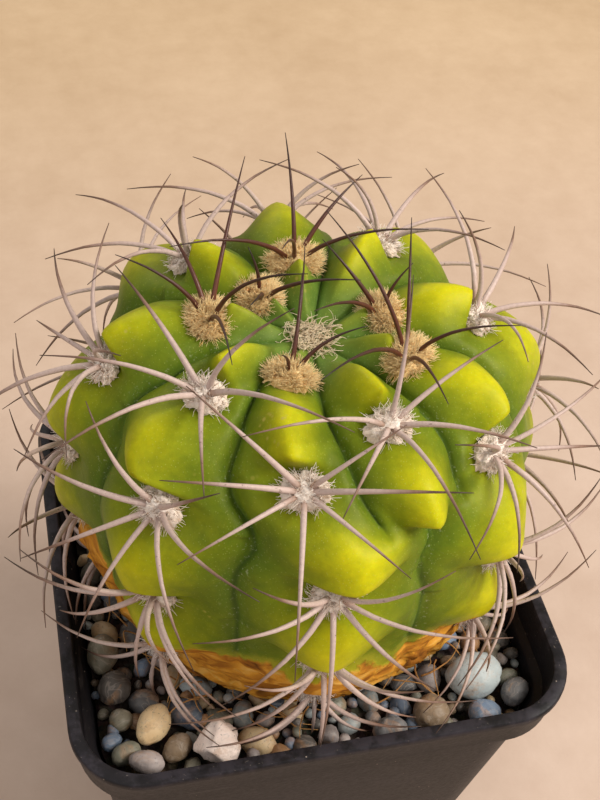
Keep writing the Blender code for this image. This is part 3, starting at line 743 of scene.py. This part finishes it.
def pot_finish():
    f = Finish("moulded_black_plastic", 0.5, Specular_IOR_Level=0.22)
    cloud = f.noise(60.0, 4.0, 0.6)
    colour = f.ramp(cloud, ((0.30, (0.004, 0.004, 0.005)), (0.70, (0.009, 0.008, 0.011))))
    dust = f.shared(DUST, Scale=750.0, Amount=0.55)
    colour = f.mix(f.times(dust["Mask"], 0.12), colour, (0.100, 0.078, 0.082))
    colour = f.mix(f.times(dust["Specks"], 0.75), colour, (0.42, 0.34, 0.28))
    scuff = f.noise(900.0, 3.0, 0.7, 0.0, f.stretched((0.06, 0.06, 1.0)))
    scuff = f.mask(scuff, 0.60, 0.74)
    colour = f.mix(f.times(scuff, 0.10), colour, (0.20, 0.17, 0.16))
    height = f.axis("Z")
    # The rim's top band is painted lighter and violet: partly worn plastic, partly a painted sheen.
    rim = f.times(f.mask(height, 0.0925, 0.0946), f.mask(f.noise(240.0, 5.0, 0.7), 0.40, 0.62))
    colour = f.mix(f.times(rim, 0.22), colour, (0.090, 0.078, 0.100))
    chalk = f.mask(f.noise(1100.0, 3.0, 0.7), 0.66, 0.71)
    chalk = f.times(chalk, f.mask(height, 0.080, 0.0946))
    colour = f.mix(f.times(chalk, 0.32), colour, (0.36, 0.30, 0.26))
    f.set("Base Color", colour)
    grain = f.shared(GRAIN, Scale=1100.0, Contrast=1.5)
    rough = f.plus(f.span(grain["Value"], 0.40, 0.56), f.times(dust["Mask"], 0.25))
    f.set("Roughness", rough)
    normal = f.bump(grain["Height"], 0.25, 0.00025)
    f.set("Normal", f.bump(scuff, 0.15, 0.0001, normal))
    return f.material


def floor_finish():
    f = Finish("pale_floor", 0.9, Specular_IOR_Level=0.15)
    cloud = f.plus(f.times(f.noise(9.0, 4.0, 0.6), 0.6), f.times(f.noise(75.0, 5.0, 0.65), 0.4))
    near = f.ramp(cloud, ((0.36, (0.520, 0.385, 0.305)), (0.64, (0.600, 0.460, 0.375))))
    far = f.ramp(cloud, ((0.36, (0.530, 0.372, 0.225)), (0.64, (0.625, 0.455, 0.290))))
    f.set("Base Color", f.mix(f.mask(f.axis("Y"), 0.05, 0.42), near, far))
    f.set("Normal", f.bump(f.noise(260.0, 5.0, 0.6), 0.15, 0.0008))
    return f.material


# ---------------------------------------------------------------- stem


def build_stem(material):
    """Turns the outline round the axis and moves each point to its place on the ribs; gives a search tree."""
    bm = bmesh.new()
    height = bm.verts.layers.float.new("height")
    crest_layer = bm.verts.layers.float.new("crest")
    mound_layer = bm.verts.layers.float.new("mound")
    cork_layer = bm.verts.layers.float.new("cork")
    painted_light_layer = bm.verts.layers.float.new("painted_light_side")
    fresh_layer = bm.verts.layers.float.new("fresh")
    upper = STEM_ROWS - STEM_BOTTOM_ROWS
    heights = [0.84 * k / upper for k in range(upper)]
    heights += [0.84 + 0.16 * k / STEM_BOTTOM_ROWS for k in range(STEM_BOTTOM_ROWS + 1)]
    line = []
    for s in heights:
        r, z, _ = outline_at(s)
        line.append(bm.verts.new((max(r, 0.0), 0.0, z)))
        line[-1][height] = s
    edges = [bm.edges.new(pair) for pair in zip(line, line[1:])]
    columns = COLUMNS_PER_RIB * len(RIBS)
    profile = line + edges
    turn = 2 * math.pi
    axis = {"cent": (0, 0, 0), "axis": (0, 0, 1)}
    bmesh.ops.spin(bm, geom=profile, **axis, angle=turn, steps=columns, use_merge=True)
    bmesh.ops.remove_doubles(bm, verts=bm.verts, dist=1e-6)
    bmesh.ops.recalc_face_normals(bm, faces=bm.faces)
    for vert in bm.verts:
        s = vert[height]
        column = round((math.atan2(vert.co.y, vert.co.x) / turn) % 1.0 * columns)
        rib = column // COLUMNS_PER_RIB % len(RIBS)
        u = (column % COLUMNS_PER_RIB) / COLUMNS_PER_RIB
        u += 0.45 * math.sin(2 * math.pi * u) / (2 * math.pi)
        start = rib_azimuth(rib, s)
        gap = (rib_azimuth((rib + 1) % len(RIBS), s) - start) % 360.0
        at, crest, mound = skin_at(start + gap * u, s)
        foot = smooth(FOOT[0] - 0.02, FOOT[1] + 0.02, s)
        if foot > 0.0:
            fold = noise.fractal(Vector((at.x, at.y, at.z * 2.8)) * 0.065, 0.8, 2.2, 3)
            wrinkle = noise.fractal(Vector((at.x, at.y, at.z * 2.0)) * 0.22, 0.7, 2.2, 3)
            out = Vector((at.x - STEM_CENTRE[0], at.y - STEM_CENTRE[1], 0.0)).normalized()
            rumple = 1.5 * (1.0 - 2.4 * abs(fold)) + 0.40 * wrinkle - 0.9
            at += out * (rumple * foot * (1.0 - smooth(0.86, 0.95, s)))
        vert.co = at
        vert[crest_layer] = crest
        vert[mound_layer] = mound
        # Painted highlight: 1 on the side painted lighter, 0 on the far side.
        side = math.cos(math.radians(start + gap * u - PAINTED_LIGHT_SIDE))
        vert[painted_light_layer] = 0.5 + 0.5 * side
        vert[cork_layer] = smooth(FOOT[0] - 0.06, FOOT[1] + 0.03, s)
        vert[fresh_layer] = 1.0 - smooth(*FRESH_END, s)
    tree = BVHTree.FromBMesh(bm)
    finish_piece("cactus_stem", bm, material, ("stem",))
    return tree


# ---------------------------------------------------------------- wool and spines


def areole_frame(rib, s):
    """(point on the skin, outward, downward along the rib, sideways) at an areole."""
    azimuth = rib_azimuth(rib, s)
    at = skin_at(azimuth, s)[0]
    normal = outline_at(s)[2]
    a = math.radians(azimuth)
    out = Vector((normal[0] * math.cos(a), normal[0] * math.sin(a), normal[1])).normalized()
    down = Vector((normal[1] * math.cos(a), normal[1] * math.sin(a), -normal[0])).normalized()
    return at, out, down, out.cross(down)


def spines_for(s):
    for end, plan in STAGES:
        if s < end:
            return plan
    return SPINES_OLDEST


def spine_tips(node, at, out, down, side, plan):
    """The tip of each planned spine, found on the frame's own areole."""
    points = [v.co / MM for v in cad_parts[node].data.vertices]
    tips = []
    for angle, rise in plan:
        a = math.radians(angle)
        wanted = (down * math.cos(a) + side * math.sin(a)) * math.cos(math.radians(rise))
        wanted = (wanted + out * math.sin(math.radians(rise))).normalized()
        best = None
        for p in points:
            ray = p - at
            far = ray.length
            aimed = far > SPINE_REACH and ray.angle(wanted) < math.radians(SPINE_CONE)
            if aimed and (best is None or far > best[0]):
                best = (far, p)
        if best is not None:
            tips.append(best[1])
    return tips


def spine_path(at, tip, out):
    """A bowed path from inside the pad to the tip."""
    ray = tip - at
    rise = math.asin(max(-1.0, min(1.0, ray.normalized().dot(out))))
    heading = (ray - out * ray.dot(out)).normalized()
    steep = rise + math.radians(2 * BOW)
    root = at + out * 0.9 + heading * 0.6
    middle = root + (tip - root).length * 0.50 * (heading * math.cos(steep) + out * math.sin(steep))
    return [root * (1 - t) ** 2 + middle * 2 * t * (1 - t) + tip * t * t for t in np.linspace(0.0, 1.0, 9)]


def any_way(rng):
    return Vector((rng.uniform(-1, 1), rng.uniform(-1, 1), rng.uniform(-1, 1)))


def fibre_path(rng, root, heading, length, curl, steps=3):
    sway = any_way(rng)
    points = [root]
    for _ in range(steps):
        if steps > 3:
            sway = sway + any_way(rng) * 0.9
        heading = (heading + sway * curl * rng.uniform(0.3, 1.0)).normalized()
        points.append(points[-1] + heading * (length / steps))
    return points


def add_pad(rng, heap, at, out, down, side, radius, height, ball, roughness):
    """A lumpy cushion of felted wool on the skin."""
    points, faces = ball
    grown = []
    seed = Vector((rng.uniform(0, 90), 0.0, 0.0))
    for p in points:
        v = Vector(p)
        lump = 0.88 + roughness * noise.fractal(v * 2.6 + seed, 0.55, 2.1, 5)
        flat = (down * v.x * PAD_STRETCH[0] + side * v.y * PAD_STRETCH[1]) * radius * lump
        grown.append(at + flat + out * (0.2 + v.z * height * lump))
    along = np.clip(0.45 + 0.5 * points[:, 2], 0.0, 1.0)
    heap.add(np.array(grown), faces, along=along, shade=np.full(len(points), 0.3))


def add_fibres(rng, heap, strand, at, out, down, side, radius, height, count, length, curl, fan):
    """Loose fibres rooted all over a pad, the outer ones leaning out."""
    for _ in range(count):
        a = rng.uniform(0.0, 2 * math.pi)
        far = math.sqrt(rng.uniform(0.0, 1.0))
        around = down * math.cos(a) * PAD_STRETCH[0] + side * math.sin(a) * PAD_STRETCH[1]
        dome = height * 0.80 * math.sqrt(max(1.0 - far * far, 0.0))
        root = at + around * radius * 0.86 * far + out * (0.1 + dome)
        heading = (out * (1.15 - fan * far) + around * (fan * far + 0.15)).normalized()
        heading += any_way(rng) * 0.55
        path = fibre_path(rng, root, heading.normalized(), rng.uniform(*length), curl)
        points, faces, t = bent(strand, path, FIBRE_RADIUS, FIBRE_TIP)
        heap.add(points, faces, along=0.40 + 0.60 * t, shade=np.full(len(t), rng.random()))


def build_areoles(stem_tree, grown_wool, young_wool, grown_spine, young_spine):
    rng = random.Random(7)
    ball = stone_template(4)
    fibre = strand_template(3, 1, 0.3)
    spine = strand_template(7, 11, 0.12)
    heaps = {key: Heap() for key in ("grown_wool", "young_wool", "grown_spine", "young_spine")}
    nodes = {"grown": [], "young": []}
    number = 0
    for rib, (_, _, heights) in enumerate(RIBS):
        for s in heights:
            number += 1
            node = f"areole_{number:02d}"
            at, out, down, side = areole_frame(rib, s)
            hit = stem_tree.ray_cast(at + out * 6.0, -out, 14.0)[0]
            at = hit if hit is not None else at
            young = s < YOUNG
            if not young:
                at = at + out * GROWN_STAND + down * GROWN_DROP
            age = "young" if young else "grown"
            nodes[age].append(node)
            size = PAD_RADIUS * (1.12 if s < NEWEST else 1.24 if young else 1.04 if s < 0.60 else 0.85)
            tall = 3.4 if young else 2.5 if s < 0.60 else 1.6
            wool = heaps[f"{age}_wool"]
            *hair, lumps = YOUNG_WOOL if young else GROWN_WOOL
            add_pad(rng, wool, at, out, down, side, size, tall, ball, lumps)
            add_fibres(rng, wool, fibre, at, out, down, side, size, tall, *hair)
            for tip in spine_tips(node, at, out, down, side, spines_for(s)):
                path = spine_path(at, tip, out)
                thick = SPINE_RADIUS * rng.uniform(0.88, 1.12) * (0.85 if young else 1.0)
                points, faces, t = bent(spine, path, thick, SPINE_TIP, 1.5)
                heaps[f"{age}_spine"].add(points, faces, along=t, shade=np.full(len(t), rng.random()))
    finishes = (
        ("grown_wool", grown_wool, "wool", ()),
        ("young_wool", young_wool, "wool", ()),
        ("grown_spine", grown_spine, "spine_grown", nodes["grown"]),
        ("young_spine", young_spine, "spine_young", nodes["young"]),
    )
    for key, material, slot, replaced in finishes:
        name = {"grown_wool": "grown_pads", "young_wool": "young_pads"}.get(key, key + "s")
        tie(name, heaps[key].mesh(name), material, replaced)


def build_crown(stem_tree, material):
    """The matted wool over the growing point."""
    rng = random.Random(19)
    heap = Heap()
    fibre = strand_template(3, 6, 0.3)
    low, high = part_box("crown_wool")
    middle = (Vector(low) + Vector(high)) / 2 / MM
    up = Vector((0.0, 0.0, 1.0))
    for _ in range(CROWN_FIBRES):
        a = rng.uniform(0.0, 2 * math.pi)
        far = CROWN_RADIUS * math.sqrt(rng.random())
        spot = middle + Vector((far * math.cos(a), far * math.sin(a), 12.0))
        hit = stem_tree.ray_cast(spot, -up, 30.0)[0]
        if hit is None:
            continue
        flat = Vector((rng.uniform(-1, 1), rng.uniform(-1, 1), rng.uniform(-0.1, 0.4))).normalized()
        path = fibre_path(rng, hit + up * rng.uniform(0.0, 0.9), flat, rng.uniform(2.5, 5.5), 0.45, 7)
        path = [Vector((p.x, p.y, min(max(p.z, hit.z + 0.1), hit.z + 1.7))) for p in path]
        points, faces, t = bent(fibre, path, 0.10, 0.04)
        heap.add(points, faces, along=0.3 + 0.7 * t, shade=np.full(len(t), rng.random()))
    tie("crown_tangle", heap.mesh("crown_tangle"), material, ("crown_wool",))


def build_roots(material):
    """Dry threads of root and skin lying round the foot."""
    rng = random.Random(31)
    heap = Heap()
    thread = strand_template(5, 9, 0.3)
    for _ in range(ROOT_THREADS):
        a = math.radians(rng.uniform(175, 350))
        far = rng.uniform(36.0, 41.5)
        outward = Vector((math.cos(a), math.sin(a), 0.0))
        root = Vector((*STEM_CENTRE, rng.uniform(86, 90))) + outward * far
        along = Vector((-math.sin(a), math.cos(a), 0.0)) * rng.choice((-1, 1))
        heading = (along + outward * rng.uniform(0.0, 0.9)).normalized()
        path = fibre_path(rng, root, heading, rng.uniform(5.0, 15.0), 0.30, 8)
        path = [Vector((p.x, p.y, max(min(p.z, 91.0), 84.6))) for p in path if inside_pot(p.x, p.y, 2.0)]
        if len(path) < 4:
            continue
        points, faces, t = bent(thread, path, rng.uniform(0.10, 0.26), 0.06)
        heap.add(points, faces, along=t, shade=np.full(len(t), rng.random()))
    tie("dry_roots", heap.mesh("dry_roots"), material)


# ---------------------------------------------------------------- stones and pot


def stone_points(points, length, wide, high, centre, turn, seed, rough, fine, chips=0):
    """A worn stone, or a broken one where chips flat faces cut it."""
    cos, sin = math.cos(turn), math.sin(turn)
    rng = random.Random(seed)
    cuts = []
    for _ in range(chips):
        way = Vector((rng.gauss(0, 1), rng.gauss(0, 1), rng.gauss(0, 1))).normalized()
        cuts.append((way, rng.uniform(0.62, 0.86)))
    out = []
    for p in points:
        v = Vector(p)
        for way, reach in cuts:
            v -= way * max(v.dot(way) - reach, 0.0)
        v *= 1.18 if chips else 1.0
        swell = 1.0 + 0.05 * math.sin(3.1 * v.x + seed) + 0.05 * math.cos(2.7 * v.y - seed)
        swell += rough * math.sin(5.3 * v.x + seed) * math.cos(6.1 * v.z - 4.0 * v.y)
        swell += fine * noise.fractal(v * 2.4 + Vector((seed * 3.7, 0, 0)), 0.7, 2.1, 4)
        x, y, z = v.x * length * swell, v.y * length * wide * swell, v.z * length * high * swell
        out.append((centre[0] + x * cos - y * sin, centre[1] + x * sin + y * cos, centre[2] + z))
    return np.array(out)


def inside_pot(x, y, margin):
    """Whether a place lies inside the pot's rounded square, by a margin."""
    half, corner = POT_INSIDE[0] - margin, POT_INSIDE[1] - margin
    dx, dy = abs(x) - (half - corner), abs(y) - (half - corner)
    if dx > 0 and dy > 0:
        return math.hypot(dx, dy) < corner
    return max(dx, dy) < corner


def build_stones(material):
    """The large pebbles in their places, and small stones scattered between them in two layers."""
    rng = random.Random(23)
    heap = Heap()
    large = stone_template(4)
    small = stone_template(2)
    taken = []
    for number, (x, y, length, wide, high, turn, rough, stone) in enumerate(PEBBLES, 1):
        low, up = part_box(f"pebble_{number:02d}")
        centre = (x, y, (low[2] + up[2]) / 2 / MM)
        broken = stone == "quartz"
        shape = (0.02, 0.10, 22) if broken else (rough, 0.045, 0)
        points = stone_points(large[0], length, wide, high, centre, math.radians(turn), number, *shape)
        heap.add(points, large[1], tint=np.tile(STONES[stone], (len(points), 1)))
        taken.append((x, y, length * (1 + wide) / 2))
    placed = 0
    for _ in range(STONE_TRIES):
        if placed == SMALL_STONES:
            break
        upper = placed > 200
        size = rng.uniform(2.1, 3.9) if placed < 90 else rng.uniform(1.0, 2.2)
        x, y = rng.uniform(-45, 45), rng.uniform(-45, 45)
        if not inside_pot(x, y, size):
            continue
        if math.hypot(x - STEM_CENTRE[0], y - STEM_CENTRE[1]) < 33.0 + size:
            continue
        near = 0.62 if upper else 0.86
        if any(math.hypot(x - a, y - b) < near * (size + r) for a, b, r in taken):
            continue
        taken.append((x, y, size))
        placed += 1
        wide, high = rng.uniform(0.7, 0.95), rng.uniform(0.6, 0.85)
        z = BED_TOP + size * high * 0.55 + (rng.uniform(0.5, 1.6) if upper else 0.0)
        turn, seed = rng.uniform(0, 6.3), rng.uniform(0, 9)
        chips = rng.choice((0, 0, 7))
        points = stone_points(small[0], size, wide, high, (x, y, z), turn, seed, 0.03, 0.07, chips)
        tint = np.array(STONES[rng.choice(SMALL_KINDS)]) * rng.uniform(0.35, 1.1)
        heap.add(points, small[1], tint=np.tile(tint, (len(points), 1)))
    nodes = [f"pebble_{n:02d}" for n in range(1, len(PEBBLES) + 1)]
    tie("pebbles", heap.mesh("pebbles"), material, nodes)


def build_bed(material):
    """The grit bed: a closed slab with a rough top."""
    bm = bmesh.new()
    bmesh.ops.create_grid(bm, x_segments=110, y_segments=110, size=1.0)
    half, corner = BED_EDGE
    for vert in bm.verts:
        x, y = vert.co.x * half, vert.co.y * half
        dx, dy = abs(x) - (half - corner), abs(y) - (half - corner)
        if dx > 0 and dy > 0:
            scale = max(dx, dy) / math.hypot(dx, dy)
            x = math.copysign(half - corner + dx * scale, x)
            y = math.copysign(half - corner + dy * scale, y)
        rough = noise.fractal(Vector((x, y, 0.0)) * 0.55, 0.6, 2.2, 5)
        vert.co = (x, y, BED_TOP - 0.4 + 0.9 * rough)
    top = list(bm.faces)
    low = bmesh.ops.extrude_face_region(bm, geom=top)
    for vert in (v for v in low["geom"] if isinstance(v, bmesh.types.BMVert)):
        vert.co = (vert.co.x * 0.98, vert.co.y * 0.98, BED_BOTTOM)
    bmesh.ops.recalc_face_normals(bm, faces=bm.faces)
    finish_piece("grit_bed", bm, material, ("gravel_bed",))


def ring_point(half, radius, height, corner, step):
    a = math.pi / 2 * (corner + step / CORNER_STEPS)
    cx = (half - radius) * (1, -1, -1, 1)[corner]
    cy = (half - radius) * (1, 1, -1, -1)[corner]
    return Vector((cx + radius * math.cos(a), cy + radius * math.sin(a), height))


def drill(shell, cutter):
    """The shell with the cutter's holes through it; both meshes are in millimetres."""
    objects = [bpy.data.objects.new(mesh.name, mesh) for mesh in (shell, cutter)]
    for obj in objects:
        bpy.context.scene.collection.objects.link(obj)
    cut = objects[0].modifiers.new("drain_holes", "BOOLEAN")
    cut.operation = "DIFFERENCE"
    cut.solver = "EXACT"
    cut.object = objects[1]
    bpy.context.view_layer.update()
    graph = bpy.context.evaluated_depsgraph_get()
    drilled = bmesh.new()
    drilled.from_mesh(objects[0].evaluated_get(graph).to_mesh())
    for obj in objects:
        bpy.data.objects.remove(obj, do_unlink=True)
    return drilled


def build_pot(material):
    """Rings grown from the underside, over the rim and down inside, closed by the floor and drilled."""
    bm = bmesh.new()
    per_corner = CORNER_STEPS + 1
    made = bmesh.ops.create_circle(bm, cap_ends=True, segments=4 * per_corner, radius=1.0)
    order = {v: k for k, v in enumerate(made["verts"])}
    edges = bm.edges[:]
    for vert, k in order.items():
        vert.co = ring_point(*POT_RINGS[0], k // per_corner, k % per_corner)
    for ring in POT_RINGS[1:]:
        grown = bmesh.ops.extrude_edge_only(bm, edges=edges)["geom"]
        edges = [e for e in grown if isinstance(e, bmesh.types.BMEdge)]
        moved = [v for v in grown if isinstance(v, bmesh.types.BMVert)]
        order = {v: order[min(order, key=lambda old: (old.co - v.co).length_squared)] for v in moved}
        for vert, k in order.items():
            vert.co = ring_point(*ring, k // per_corner, k % per_corner)
    bmesh.ops.contextual_create(bm, geom=edges)
    bmesh.ops.recalc_face_normals(bm, faces=bm.faces)
    shell = bpy.data.meshes.new("shell")
    bm.to_mesh(shell)
    bm.free()
    cutter = bmesh.new()
    size = {"radius1": DRAIN_RADIUS, "radius2": DRAIN_RADIUS, "depth": 12.0}
    for sx in (-1, 1):
        for sy in (-1, 1):
            hole = bmesh.ops.create_cone(cutter, cap_ends=True, segments=40, **size)
            bmesh.ops.translate(cutter, verts=hole["verts"], vec=(sx * DRAIN_OFFSET, sy * DRAIN_OFFSET, 0.0))
    holes = bpy.data.meshes.new("holes")
    cutter.to_mesh(holes)
    cutter.free()
    finish_piece("nursery_pot", drill(shell, holes), material, ("pot",), sharp=38.0)


# ---------------------------------------------------------------- stage


def build_stage():
    bm = bmesh.new()
    bmesh.ops.create_grid(bm, x_segments=8, y_segments=8, size=2.5)
    mesh = bpy.data.meshes.new("floor")
    bmesh.ops.translate(bm, verts=bm.verts, vec=(0.0, 0.0, -0.0002))
    bm.to_mesh(mesh)
    bm.free()
    mesh.materials.append(floor_finish())
    floor = bpy.data.objects.new("floor", mesh)
    bpy.context.scene.collection.objects.link(floor)


def build_lights():
    world = bpy.data.worlds.new("soft_room")
    world.use_nodes = True
    sky = world.node_tree.nodes["Background"]
    sky.inputs["Color"].default_value = ROOM_LIGHT
    sky.inputs["Strength"].default_value = ROOM_STRENGTH
    bpy.context.scene.world = world
    for name, (place, width, power, colour) in LAMPS.items():
        data = bpy.data.lights.new(name, "AREA")
        data.shape = "DISK"
        data.size = width
        data.energy = power
        data.color = colour
        lamp = bpy.data.objects.new(name, data)
        lamp.location = place
        lamp.rotation_euler = (Vector(LAMP_AIM) - Vector(place)).to_track_quat("-Z", "Y").to_euler()
        bpy.context.scene.collection.objects.link(lamp)


def build_camera():
    data = bpy.data.cameras.new("camera")
    data.sensor_width = 36.0
    data.lens = 56.25
    data.clip_start = 0.01
    camera = bpy.data.objects.new("camera", data)
    place = Vector(CAMERA_PLACE)
    aim = Vector(CAMERA_AIM)
    camera.location = place
    camera.rotation_mode = "QUATERNION"
    roll = Quaternion((0.0, 0.0, 1.0), math.radians(CAMERA_ROLL))
    camera.rotation_quaternion = (aim - place).to_track_quat("-Z", "Y") @ roll
    bpy.context.scene.collection.objects.link(camera)
    bpy.context.scene.camera = camera


def main():
    stem_tree = build_stem(skin_finish())
    pale = spine_finish(
        "grown_spine",
        (
            (0.00, (0.38, 0.25, 0.19)),
            (0.14, (0.54, 0.415, 0.370)),
            (0.56, (0.46, 0.340, 0.300)),
            (0.78, (0.21, 0.120, 0.085)),
            (1.00, (0.050, 0.026, 0.018)),
        ),
        0.50,
    )
    dark = spine_finish(
        "young_spine",
        (
            (0.00, (0.130, 0.038, 0.018)),
            (0.35, (0.080, 0.022, 0.012)),
            (0.70, (0.055, 0.020, 0.013)),
            (1.00, (0.022, 0.011, 0.009)),
        ),
        0.42,
    )
    white = wool_finish("grown_wool", (0.98, 0.70, 0.50), (1.00, 0.91, 0.83), (0.66, 0.40, 0.24))
    orange = wool_finish("young_wool", (1.00, 0.55, 0.17), (1.00, 0.78, 0.42), (0.95, 0.42, 0.12))
    grey = wool_finish("crown_wool_finish", (0.82, 0.62, 0.40), (0.98, 0.83, 0.60), (0.55, 0.34, 0.16))
    build_areoles(stem_tree, white, orange, pale, dark)
    build_crown(stem_tree, grey)
    build_roots(wool_finish("dry_root", (0.34, 0.15, 0.045), (0.62, 0.33, 0.12), (0.16, 0.07, 0.03)))
    build_stones(stone_finish())
    build_bed(ground_finish("gritty_bed", (0.014, 0.010, 0.008), (0.060, 0.044, 0.032), 500.0))
    build_pot(pot_finish())
    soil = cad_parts["soil"].data
    soil.materials.clear()
    soil.materials.append(ground_finish("compost", (0.014, 0.009, 0.006), (0.060, 0.038, 0.022), 350.0))
    build_stage()
    build_lights()
    build_camera()
    bpy.context.scene.view_settings.view_transform = "Standard"


main()
